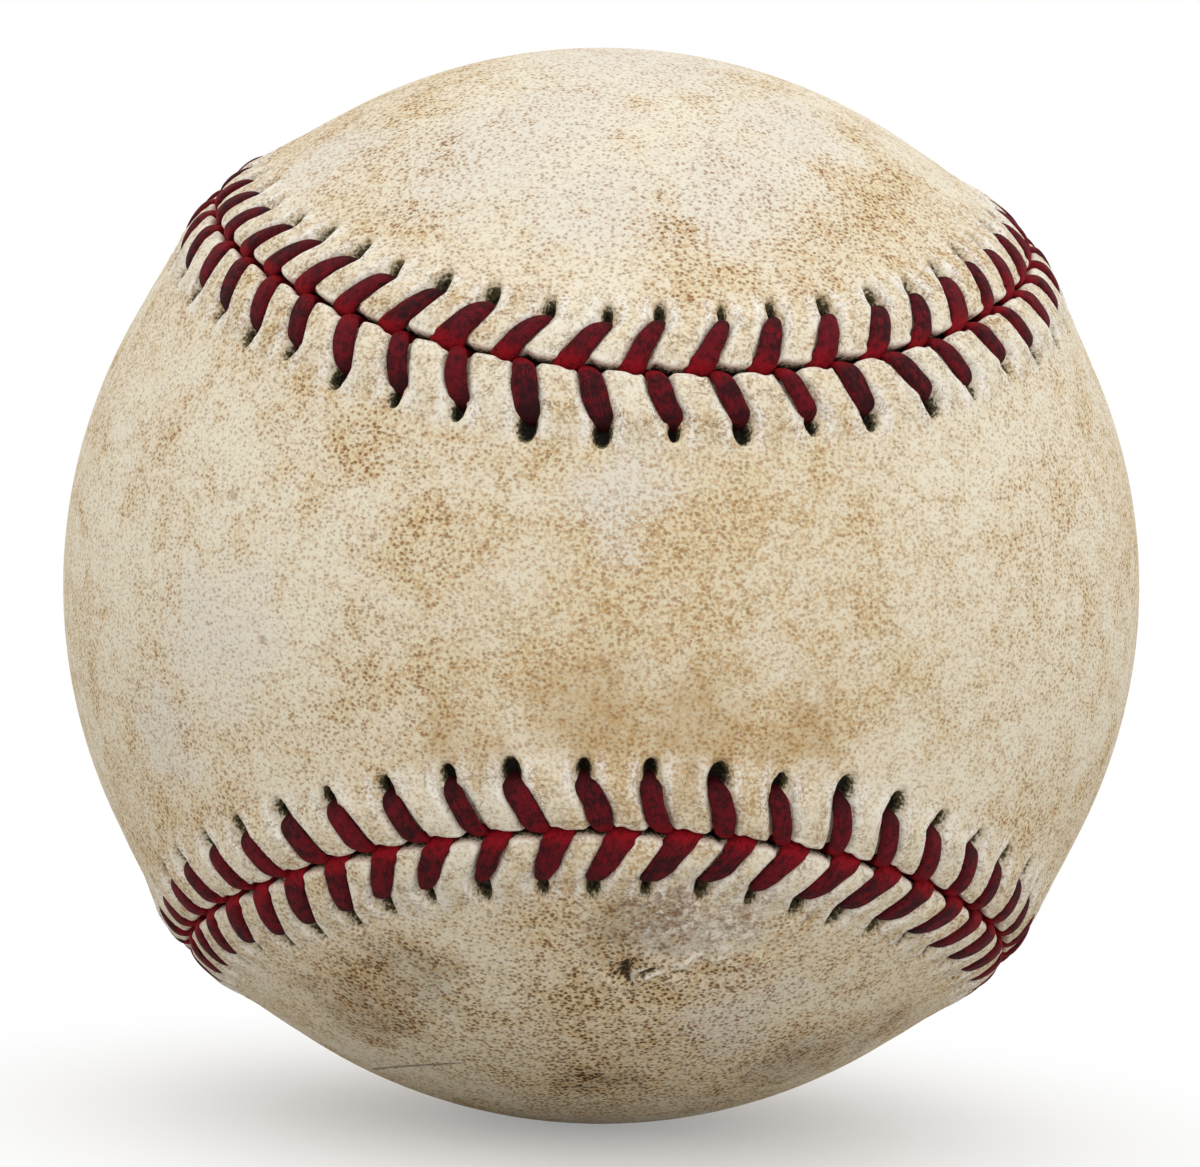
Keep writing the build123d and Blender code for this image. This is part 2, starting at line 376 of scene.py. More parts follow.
def edgeReach(side, along):  # the cut edge draws back where the strands go down
    drawBack = 0
    for row, key in ((side, "ownDraw"), (-side, "otherDraw")):
        before, after = nearestLegs(along, stitches[row]["down"])[:2]
        depth, width = cover[key]
        drawBack = drawBack + depth * bell(np.minimum(before, after), width)
    ripple = cover["edgeRipple"] * np.sin(along * 2.3) * np.sin(along * 0.71)
    return cover["gap"] + np.minimum(drawBack, cover["mostDraw"]) + ripple


def tearDistance(points):  # from the torn line, millimetres
    knots = np.array(tear["line"])
    best = np.full(len(points), 99.0)
    for a, b in zip(knots[:-1], knots[1:]):
        line = b - a
        share = np.clip((points - a) @ line / (line @ line), 0, 1)
        best = np.minimum(best, np.linalg.norm(points - a - share[:, None] * line, axis=1))
    return best


def fromNick(points):  # right, up and whether the points are near the nick at all
    offset = points - np.array(tear["nick"])
    close = np.linalg.norm(offset, axis=1) < tear["farthest"]
    return offset[:, 0], offset @ np.array(tear["upward"]), close


def tearStroke(points, strokes):  # 1 along the strokes' middle lines, fading over their half widths
    right, up, close = fromNick(points)
    best = np.full(len(points), 9.0)
    for x0, y0, x1, y1, half in strokes:
        dx, dy = x1 - x0, y1 - y0
        share = np.clip(((right - x0) * dx + (up - y0) * dy) / (dx * dx + dy * dy), 0, 1)
        best = np.minimum(best, np.hypot(right - x0 - share * dx, up - y0 - share * dy) / half)
    return np.exp(-(best**2)) * close


def tearRelief(points):  # sunk cracks, raised fibres and flap, and a roughened patch round them
    right, up, close = fromNick(points)
    flapRight, flapUp, flapWide, flapHigh, flapRise = tear["flap"]
    flap = flapRise * bell(right - flapRight, flapWide) * bell(up - flapUp, flapHigh) * close
    patch = 1 - smooth(1.0, tear["scuffReach"] - 0.5, tearDistance(points))
    rough = tear["roughness"] * wave(unit(points), *tear["roughWave"]) * patch
    fibres = tear["fibreRise"] * tearStroke(points, tear["fibres"])
    return flap + fibres + rough - tear["depth"] * tearStroke(points, tear["cracks"])


def addObject(name, data):
    thing = bpy.data.objects.new(name, data)
    bpy.context.collection.objects.link(thing)
    return thing


def buildMesh(name, verts, faces):  # verts in millimetres, faces a list of index arrays
    mesh = bpy.data.meshes.new(name)
    every = [face for rows in faces for face in rows.tolist()]
    mesh.from_pydata(verts * mm, [], every, shade_flat=False)
    mesh.validate()
    return addObject(name, mesh)


def setAttribute(thing, name, values):
    layer = thing.data.attributes.new(name, "FLOAT", "POINT")
    layer.data.foreach_set("value", np.asarray(values, np.float32))


def ringFaces(a, b):  # quads between two closed rows of the same length
    i = np.arange(len(a))
    j = (i + 1) % len(a)
    return np.stack([a[i], a[j], b[j], b[i]], 1)


def halvingFaces(fine, coarse):  # triangles from a row to one with half as many points
    i = np.arange(len(coarse))
    a0, a1, a2 = fine[2 * i], fine[2 * i + 1], fine[(2 * i + 2) % len(fine)]
    b0, b1 = coarse[i], coarse[(i + 1) % len(coarse)]
    return np.concatenate([np.stack(t, 1) for t in ((a0, a1, b0), (a1, b1, b0), (a1, a2, b1))])


samplePoints, sampleToBack = seamFrame(np.linspace(0, seamLength, 1600, endpoint=False))[:2]


def seamReach(directions):  # signed distance from the seam, positive on the back panel
    out = np.zeros(len(directions))
    chunk = 4000
    for i in range(0, len(directions), chunk):
        part = directions[i : i + chunk]
        dots = part @ samplePoints.T
        best = dots.argmax(1)
        lateral = np.einsum("ij,ij->i", part, sampleToBack[best])
        out[i : i + chunk] = np.arccos(np.clip(dots.max(1), -1, 1)) * np.sign(lateral) * ballRadius
    return out


def evenPoints(spacing, low=-1.0, high=1.0):  # over the unit sphere, or a belt of it
    n = int(4 * math.pi * ballRadius**2 / (spacing**2 * 0.866))
    i = np.arange(int(n * (1 - high) / 2), int(n * (1 - low) / 2)) + 0.5
    polar = np.arccos(1 - 2 * i / n)
    turn = math.pi * (1 + 5**0.5) * i
    return np.stack([np.cos(turn) * np.sin(polar), np.sin(turn) * np.sin(polar), np.cos(polar)], 1)


def fillPoints(side, spacing, outer):  # directions inside the band, closer together at the torn place
    seeds = evenPoints(spacing)
    if outer:
        seeds = seeds[tearDistance(seeds * ballRadius) > tear["scuffReach"] + 0.5]
        patch = evenPoints(tear["scuffSpacing"], *tear["scuffBelt"])
        away = tearDistance(patch * ballRadius)
        patch = patch[(away < tear["scuffReach"]) & (away > tear["lineReach"] + 0.1)]
        close = evenPoints(tear["lineSpacing"], *tear["lineBelt"])
        close = close[tearDistance(close * ballRadius) < tear["lineReach"]]
        seeds = np.concatenate([seeds, patch, close])
    reach = side * seamReach(seeds)
    clear = np.where(tearDistance(seeds * ballRadius) < tear["scuffReach"], 0.4, 0.55 * spacing)
    keep = reach > cover["bandEnd"] + clear
    return seeds[keep], reach[keep]


def fillFaces(side, ring, inner):  # triangles over the panel inside one ring of directions
    points = np.concatenate([ring, inner])
    flat = points[:, [0, 2]] / (1 + side * points[:, 1])[:, None]  # seen from the far pole
    n = len(ring)
    loop = [(i, (i + 1) % n) for i in range(n)]
    found = delaunay_2d_cdt([Vector(p) for p in flat], loop, [], 1, 1e-9)
    original = np.array([places[0] for places in found[3]])
    tris = original[np.array([f for f in found[2] if len(f) == 3])]
    a, b, c = points[tris[:, 0]], points[tris[:, 1]], points[tris[:, 2]]
    outward = np.einsum("ij,ij->i", np.cross(b - a, c - a), a) > 0
    tris[~outward] = tris[~outward][:, ::-1]
    return tris


class PanelRows:  # a panel's points, marks and faces, row by row
    def __init__(self, side):
        self.side = side
        self.points = []
        self.marks = {"holeShade": [], "rubbedAndHighlight": [], "cutEdge": [], "seamBand": []}
        self.total = 0
        self.faces = []

    def add(self, points, *marks):  # one value or row for each mark
        n = len(points)
        self.points.append(points)
        for store, mark in zip(self.marks.values(), marks):
            store.append(np.broadcast_to(np.asarray(mark, float), (n,)).copy())
        self.total += n
        return np.arange(self.total - n, self.total)

    def beside(self, along, reach, radius, hole=0, cleanAndHighlight=0, cut=0):
        band = 1 - smooth(*cover["bandFade"], reach)
        return self.add(seamPlace(along, self.side * reach, radius), hole, cleanAndHighlight, cut, band)

    def join(self, last, row, outer=True):
        faces = ringFaces(last, row) if len(row) == len(last) else halvingFaces(last, row)
        flip = outer == (self.side == back)
        self.faces.append(faces[:, ::-1] if flip else faces)
        return row


def addCutEdge(rows, along, edge, lipTop):  # up the cut and round its lip, with painted shade down the cut and a painted highlight on the lip
    lip = cover["lip"]
    low = ball["crestRise"] - ball["leather"]
    under = rows.beside(along, edge, ballRadius + low, 0.9, 0, 1)
    middle = rows.beside(along, edge, ballRadius + (low + lipTop - lip) / 2, 0.45, 0.2, 1)
    last = rows.join(under, middle)
    for degrees in cover["lipAngles"]:
        angle = math.radians(degrees)
        cut = 1 - smooth(20, 75, degrees)
        reach = edge + lip * (1 - math.cos(angle))
        radius = ballRadius + lipTop - lip * (1 - math.sin(angle))
        last = rows.join(last, rows.beside(along, reach, radius, 0.12 * cut, cover["lipCleanAndHighlight"], cut))
    return under, last


def addBand(rows, along, edge, lipTop, last):  # over the stitches and holes to the plain leather
    side = rows.side
    for level in cover["rowReaches"]:
        height, hole, cleanAndHighlight = leatherTop(side, along, level)
        joinShare = smooth(*cover["lipJoin"], level)
        height = lipTop * (1 - joinShare) + height * joinShare
        reach = np.maximum(level, edge + cover["lip"] + cover["lipPush"] * (level - cover["lipReach"]))
        direction = unit(seamPlace(along, side * reach, ballRadius))
        folds = 1.0
        for scale, seed in cover["wrinkleWaves"]:
            folds = folds * wave(direction, scale, seed)
        folds = folds * (1 - smooth(*cover["pillowFade"], level)) * (1 - hole)
        height = height + cover["wrinkle"] * folds + tearRelief(direction * ballRadius)
        last = rows.join(last, rows.beside(along, reach, ballRadius + height, hole, cleanAndHighlight))
    for level, coarse in ((cover["coarserRow"], 2), (cover["bandEnd"], 4)):
        some = along[::coarse]
        height, hole, cleanAndHighlight = leatherTop(side, some, level)
        height = height + tearRelief(seamPlace(some, side * level, ballRadius))
        last = rows.join(last, rows.beside(some, level, ballRadius + height, hole, cleanAndHighlight))
    return last


def buildPanel(side, name):
    n = stitchCount * cover["alongSteps"]
    along = np.arange(n) * seamLength / n
    inside = ballRadius - ball["leather"]
    edge = edgeReach(side, along)
    lipTop = leatherTop(side, along, cover["lipReach"])[0]
    lipTop = np.minimum(lipTop, cover["lipHighest"]) - cover["lipDrop"]
    rows = PanelRows(side)
    under, last = addCutEdge(rows, along, edge, lipTop)
    outerRing = addBand(rows, along, edge, lipTop, last)
    last = under
    for level, coarse in cover["underRows"] + ((cover["bandEnd"], 4),):
        radius = inside + ridge(max(level, ball["crestReach"]))
        # the underside is darkened all over through holeShade: painted shade
        last = rows.join(last, rows.beside(along[::coarse], level, radius, 1), outer=False)
    ring = unit(seamPlace(along[::4], side * cover["bandEnd"], 1.0))
    for outer, spacing, radius, ringRow in (
        (True, cover["fillSpacing"], ballRadius, outerRing),
        (False, cover["underSpacing"], inside, last),
    ):
        seeds, reach = fillPoints(side, spacing, outer)
        rise = ridge(reach) + (tearRelief(seeds * ballRadius) if outer else 0)
        # holeShade of 1 darkens the inner fill: painted shade
        row = rows.add(seeds * (radius + rise)[:, None], 0 if outer else 1, 0, 0, 0)
        faces = np.concatenate([ringRow, row])[fillFaces(side, ring, seeds)]
        rows.faces.append(faces if outer else faces[:, ::-1])
    verts = np.concatenate(rows.points)
    panel = buildMesh(name, verts, rows.faces)
    for mark, values in rows.marks.items():
        setAttribute(panel, mark, np.concatenate(values))
    setAttribute(panel, "tornPale", tearStroke(unit(verts) * ballRadius, tear["fibres"]))
    # the tear's cracks: torn leather, with painted shade in them
    setAttribute(panel, "tornDarkAndShade", tearStroke(unit(verts) * ballRadius, tear["cracks"]))
    print(name, len(panel.data.vertices), "points", len(panel.data.polygons), "faces")
    return panel


panels = {
    front: buildPanel(front, "cover_panel_front_leather"),
    back: buildPanel(back, "cover_panel_back_leather"),
}
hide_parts("cover_panel_front")
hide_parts("cover_panel_back")


# lacing strands: each one goes up a hole, over its panel, down the seam and under the other panel
def legPoints(side, k):  # along, reach, height, half width, half thickness, soil down one visible leg
    rows = stitches[side]
    end = rows["reach"][k] - lacing["entry"]
    wide = lacing["halfWidth"] * rows["width"][k]
    thick = lacing["halfThick"]
    hidden = lacing["roundHalf"]
    leg = lacing["legShape"][side]
    point, waist, head, tip = leg["point"], leg["waist"], leg["head"], leg["tip"]
    drop, pull = leg["drop"], leg["pull"]
    # share of the way from seam to hole, height, half width, half thickness, shift along the seam
    shape = [
        (1.02, -1.25, hidden, 0.34, 0),
        (1.01, -0.75, 0.43, 0.34, 0),
        (1.00, -0.30, 0.46, 0.34, 0),
        (0.965, 0.08, wide * (point - 0.1), 0.33, 0),
        (0.90, 0.34, wide * point, 0.31, 0),
        (0.78, 0.52, wide * (0.4 + 0.6 * point), thick, 0),
        (0.60, 0.64, wide, thick, 0),
        (0.42, 0.68, wide, thick, 0),
        (0.28, 0.64, wide * waist, thick, 0),
        (0.17, 0.54 - drop * 0.5, wide * (waist + head) / 2, thick, pull * 0.3),
        (0.09, 0.34 - drop, wide * head, thick, pull * 0.7),
        (0.035, 0.05 - drop, wide * tip, thick, pull),
        (0.01, -0.32 - drop, wide * tip * 0.85, 0.32, pull),
        (0.00, -0.78, hidden, 0.34, pull * 0.5),
    ]
    out = []
    for share, height, halfWide, halfThick, shift in shape:
        down = min(max(1 - share, 0), 1)
        along = rows["hole"][k] + (rows["down"][k] - rows["hole"][k]) * down
        along = along + rows["bow"][k] * math.sin(math.pi * down) + shift
        out.append((along, side * share * end, height, halfWide, halfThick, rows["soil"][k]))
    return out


def hiddenPoints(side, k):  # under the other panel to its next hole
    other = stitches[-side]
    nextLeg = (k + 1) % stitchCount
    start = stitches[side]["down"][k]
    nextHole = other["hole"][nextLeg] + (seamLength if nextLeg == 0 else 0)
    nextReach = other["reach"][nextLeg] - lacing["entry"]
    out = []
    for share, height in lacing["hiddenRun"]:
        along = start + (nextHole - start) * share
        reach = -side * nextReach * share
        out.append((along, reach, height, lacing["roundHalf"], lacing["halfThick"], lacing["hiddenSoil"]))
    return out[:2] if nextLeg == 0 else out  # the last one ends under the cover


def smoothRun(keys, steps):  # points along a cubic through the keys
    keys = np.array(keys)
    before = np.concatenate([keys[:1], keys[:-1]])
    after = np.concatenate([keys[1:], keys[-1:]])
    slope = (after - before) / 2
    t = (np.arange(steps) / steps)[:, None]
    t2, t3 = t * t, t * t * t
    out = []
    for i in range(len(keys) - 1):
        out.append(
            keys[i] * (2 * t3 - 3 * t2 + 1)
            + slope[i] * (t3 - 2 * t2 + t)
            + keys[i + 1] * (3 * t2 - 2 * t3)
            + slope[i + 1] * (t3 - t2)
        )
    out.append(keys[-1:])
    return np.concatenate(out)


def rowDot(a, b):
    return np.einsum("ij,ij->i", a, b)


def buildStrand(firstSide, name):
    keys = []
    side = firstSide
    for k in range(stitchCount):
        keys += legPoints(side, k) + hiddenPoints(side, k)
        side = -side
    along, reach, height, wide, thick, soil = smoothRun(keys, lacing["stepsPerKey"]).T
    steps = np.arange(len(along))
    wide = wide * (1 + lacing["widthRipple"] * np.sin(steps * 0.83) * np.sin(steps * 0.31 + firstSide))
    centres = seamPlace(along, reach, ballRadius + height)
    travel = seamFrame(along)[2]
    tangent = unit(np.gradient(centres, axis=0))
    square = unit(travel - tangent * rowDot(travel, tangent)[:, None])
    # near the seam the flat thread lies along it, so a leaning leg ends in a point
    cut = lacing["seamCut"] * (1 - smooth(*lacing["cutReach"], np.abs(reach)))
    cut = cut * smooth(*lacing["cutHeight"], height)
    across = unit(square * (1 - cut)[:, None] + travel * cut[:, None])
    wide = wide / np.maximum(rowDot(across, square), lacing["leastSquare"])
    up = unit(np.cross(tangent, across))
    m = lacing["ringPoints"]
    angle = np.arange(m) * 2 * np.pi / m
    length = np.concatenate([[0], np.cumsum(np.linalg.norm(np.diff(centres, axis=0), axis=1))])
    ply = 1.0
    for rise, turns, twist, start in lacing["plies"]:
        ply = ply * (1 + rise * np.cos(turns * angle[None, :] + twist * length[:, None] + start))
    power = 2 / lacing["flatness"]
    flatCos = np.sign(np.cos(angle)) * np.abs(np.cos(angle)) ** power
    flatSin = np.sign(np.sin(angle)) * np.abs(np.sin(angle)) ** power
    rings = (
        centres[:, None, :]
        + across[:, None, :] * (wide[:, None] * flatCos[None, :] * ply)[..., None]
        + up[:, None, :] * (thick[:, None] * flatSin[None, :] * ply)[..., None]
    )
    verts = np.concatenate([rings.reshape(-1, 3), centres[:1], centres[-1:]])
    grid = np.arange(len(rings) * m).reshape(-1, m)
    after = np.roll(grid, -1, axis=1)
    quads = np.stack([after[:-1], after[1:], grid[1:], grid[:-1]], -1).reshape(-1, 4)
    startMiddle, endMiddle = np.full(m, grid.size), np.full(m, grid.size + 1)
    startCap = np.stack([startMiddle, after[0], grid[0]], 1)
    endCap = np.stack([endMiddle, grid[-1], after[-1]], 1)
    strand = buildMesh(name, verts, [quads, startCap, endCap])
    outward = unit(centres)
    facing = rowDot(up, outward)[:, None] * np.sin(angle) + rowDot(across, outward)[:, None] * np.cos(angle)
    every = np.ones((1, m))
    for mark, values, ends in (
        ("threadAlong", length[:, None] * every, (0, length[-1])),
        ("threadOut", facing, (0, 0)),
        ("threadTurn", np.ones((len(rings), 1)) * np.cos(angle), (0, 0)),
        ("seamNear", np.abs(reach)[:, None] * every, (4, 4)),
        ("legSoil", soil[:, None] * every, (0.5, 0.5)),
    ):
        setAttribute(strand, mark, np.concatenate([values.ravel(), ends]))
    print(name, len(strand.data.polygons), "faces,", round(length[-1] / 1000, 2), "m of thread")
    return strand


strands = [
    buildStrand(front, "lacing_strand_first_thread"),
    buildStrand(back, "lacing_strand_second_thread"),
]
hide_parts("lacing_strand_first")
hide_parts("lacing_strand_second")


# shader sums as expressions on sockets
class Value:
    def __init__(self, socket, shader):
        self.socket = socket
        self.shader = shader

    def maths(self, operation, *others):
        return self.shader.maths(operation, self, *others)

    def __add__(self, other):
        return self.maths("ADD", other)

    def __radd__(self, other):
        return self.shader.maths("ADD", other, self)

    def __sub__(self, other):
        return self.maths("SUBTRACT", other)

    def __rsub__(self, other):
        return self.shader.maths("SUBTRACT", other, self)

    def __mul__(self, other):
        return self.maths("MULTIPLY", other)

    def __rmul__(self, other):
        return self.shader.maths("MULTIPLY", other, self)

    def __truediv__(self, other):
        return self.maths("DIVIDE", other)

    def __rtruediv__(self, other):
        return self.shader.maths("DIVIDE", other, self)

    def size(self):  # without its sign
        return self.maths("ABSOLUTE")

    def clip(self):
        return self.maths("MAXIMUM", 0.0).maths("MINIMUM", 1.0)

    def step(self, low, high):  # smooth rise from 0 to 1 between two values
        t = ((self - low) / (high - low)).clip()
        return t * t * (3 - 2 * t)


class Shader:
    def __init__(self, owner):  # a new material or world
        owner.use_nodes = True
        self.owner = owner
        self.tree = owner.node_tree
        self.tree.nodes.clear()

    def node(self, kind, settings=None, out=0, **sockets):
        node = self.tree.nodes.new("ShaderNode" + kind)
        for key, item in (settings or {}).items():
            setattr(node, key, item)
        inputs = {s.identifier.replace(" ", "_"): s for s in node.inputs if s.enabled}
        for key, item in sockets.items():
            if isinstance(item, Value):
                self.tree.links.new(item.socket, inputs[key])
            else:
                inputs[key].default_value = item
        if isinstance(out, tuple):
            return [Value(node.outputs[i], self) for i in out]
        return Value(node.outputs[out], self) if node.outputs else None

    def maths(self, operation, *items):
        return self.node("Math", {"operation": operation}, **dict(zip(("Value", "Value_001"), items)))

    def vector(self, operation, first, second=None):
        sockets = {"Vector": first}
        if second is not None:
            sockets["Scale" if operation == "SCALE" else "Vector_001"] = second
        isNumber = operation in ("DISTANCE", "LENGTH", "DOT_PRODUCT")
        return self.node("VectorMath", {"operation": operation}, 1 if isNumber else 0, **sockets)

    def attributes(self, *names):
        return [self.node("Attribute", {"attribute_name": name}, "Fac") for name in names]

    def place(self):  # millimetres in the row's frame
        return self.vector("SCALE", self.node("TexCoord", out="Object"), 1 / mm)

    def noise(self, vector, scale, detail=2.0, rough=0.5, distort=0.0, out="Fac"):
        sockets = {"Scale": scale, "Detail": detail, "Roughness": rough, "Distortion": distort}
        return self.node("TexNoise", None, out, Vector=vector, **sockets)

    def cells(self, vector, scale, feature="F1", randomness=1.0, out=0):
        sockets = {"Scale": scale, "Randomness": randomness}
        return self.node("TexVoronoi", {"feature": feature}, out, Vector=vector, **sockets)

    def blend(self, share, first, second):  # two colours
        return self.node("Mix", {"data_type": "RGBA"}, 2, Factor_Float=share, A_Color=first, B_Color=second)

    def bump(self, height, distance, strength):
        return self.node("Bump", Height=height, Distance=distance, Strength=strength)

    def seen(self):  # 1 where the camera looks straight, in a mirror or through glass
        rays = ("Is Camera Ray", "Is Glossy Ray", "Is Transmission Ray")
        straight, mirrored, through = self.node("LightPath", out=rays)
        return straight.maths("MAXIMUM", mirrored).maths("MAXIMUM", through)

    def finish(self, colour, rough, normal, specular):
        sockets = {"Base_Color": colour, "Roughness": rough, "Normal": normal}
        surface = self.node("BsdfPrincipled", Specular_IOR_Level=specular, **sockets)
        self.node("OutputMaterial", Surface=surface)
        return self.owner


def tone(red, green, blue):  # a screen colour, 0 to 255, as linear light
    def linear(c):
        c = c / 255
        return c / 12.92 if c <= 0.04045 else ((c + 0.055) / 1.055) ** 2.4

    return (linear(red), linear(green), linear(blue), 1.0)


leatherLook = {
    "cream": tone(243, 234, 212),
    "warm": tone(224, 201, 150),
    "chalk": tone(235, 228, 214),
    "tan": tone(188, 156, 102),
    "grime": tone(104, 88, 62),
    "speck": tone(194, 150, 90),
    "pore": tone(136, 88, 42),
    "darkPore": tone(62, 46, 28),
    "crease": tone(140, 104, 64),
    "scuff": tone(150, 128, 118),
    # white of worn leather, also the painted highlight beside the stitches and on the lip
    "cleanWhiteAndHighlight": tone(252, 248, 240),
    "cutPink": tone(232, 208, 192),
    # the tear's cracks, partly painted shade
    "crack": tone(46, 36, 24),
    # stitch holes, slits and the cut's wall: painted shade, with some dirt
    "holeDark": tone(24, 20, 14),
    "holeOlive": tone(96, 86, 58),
    # worn places, and the two places at the view's outer left and right made paler as painted light; each
    # as right, up and radius in millimetres, on the front and behind
    "soiled": (
        (-17.7, 8.6, 4.5), (-12.3, 2.1, 5.5), (-7.4, -4.1, 4.5), (11.3, -6.8, 4.5), (27.0, 7.1, 3.5),
        (1.0, 23.6, 3.0), (3.0, -10.9, 7.5), (-30.3, 6.8, 5.0), (13.1, 26.1, 4.0), (1.0, -28.7, 12.5),
        (1.0, -1.0, 13.0),
    ),
    "soiledBehind": ((24.0, 14.4, 7.0), (-20.0, -13.0, 6.0), (-31.0, -18.0, 5.0)),
    "chalky": (
        (-25.7, -2.9, 6.0), (-29.1, -9.4, 4.5), (-20.3, 26.9, 6.0), (9.4, 30.1, 6.0), (-5.3, 30.6, 6.0),
        (-10.5, 27.2, 8.0), (-3.1, 24.4, 6.0), (5.5, 26.0, 7.0), (0.0, 34.8, 9.0), (7.8, -25.6, 5.0),
        (-1.8, 6.0, 4.5), (4.5, -20.1, 4.5),
    ),
    "chalkyBehind": ((4.0, -9.0, 7.0), (-26.0, 16.5, 6.0)),
    "grimy": (
        (-15.6, -27.1, 5.5), (-13.0, -24.1, 4.6), (12.8, -29.9, 5.5), (18.3, -28.1, 4.5), (0.8, -19.8, 4.0),
        (-0.6, -30.9, 3.0), (0.6, -23.0, 2.2), (31.0, -19.8, 4.5),
    ),
    "grimyBehind": ((14.0, 11.5, 4.0), (-33.5, 8.5, 4.0)),
    "tanned": ((-2.5, -7.1, 5.0), (3.5, -7.8, 4.5), (9.6, -7.4, 3.5), (-11.3, -8.4, 3.0)),
    "scuffed": ((2.6, -18.3, 3.6), (6.4, -19.4, 3.6)),
    # the view's outer left and right made paler: painted light
    "paleSides": ((-27.0, 1.0, 15.0), (27.0, 1.0, 15.0)),
    "upperLobe": ((0.0, 31.0, 22.0),),
    "lowerLobe": ((0.0, -29.5, 22.0),),
    "spots": ((-24.9, 5.4, 0.5), (-16.3, 3.3, 0.4), (-22.8, -3.3, 0.4)),
    "handled": (5.0, -3.0),  # the pores are rubbed flat round here
    "handledReach": (10.0, 25.0),
    "scratch": ((-14.8, -32.7), (-8.8, -30.4), 1.1),  # two ends and the bow between them
    "wanderReach": 9.0,  # how ragged the worn places' outlines are
    "noise": {  # scale, detail, roughness and distortion
        "wander": (0.28, 3.0, 0.6),
        "broad": (0.085, 3.0, 0.55),
        "patch": (0.3, 4.0, 0.62, 0.4),
        "cloud": (0.8, 3.0, 0.6, 0.3),
        "grain": (2.2, 1.0, 0.55),
        "fine": (7.5, 1.0, 0.6),
        "net": (4.4, 1.0, 0.6),
        "crease": (1.1, 3.0, 0.55, 1.2),
        "chafe": (2.0, 3.0, 0.7, 0.6),
    },
    "poreScale": 3.1,
    "poreStretch": (1.0, 1.0, 1.25),
    "specular": 0.22,
}


def scratchMask(s, p, net):  # a thin bowed line between two places
    first, second, bow = leatherLook["scratch"]
    first, second = Vector(onBall(*first)), Vector(onBall(*second))
    middle = (first + second) / 2
    half = (second - first).length / 2
    heading = (second - first).normalized()
    run = (s.vector("DOT_PRODUCT", p, heading) - middle.dot(heading)) / half
    across = s.vector("DOT_PRODUCT", p, first.cross(second).normalized())
    gap = (across - bow * (1 - run * run) + (net - 0.5) * 0.3).size()
    nearSide = s.vector("DOT_PRODUCT", p, middle.normalized()).step(0.0, 1.0)
    return (1 - gap.step(0.0, 0.22)) * (1 - run.size().step(0.75, 1.0)) * nearSide


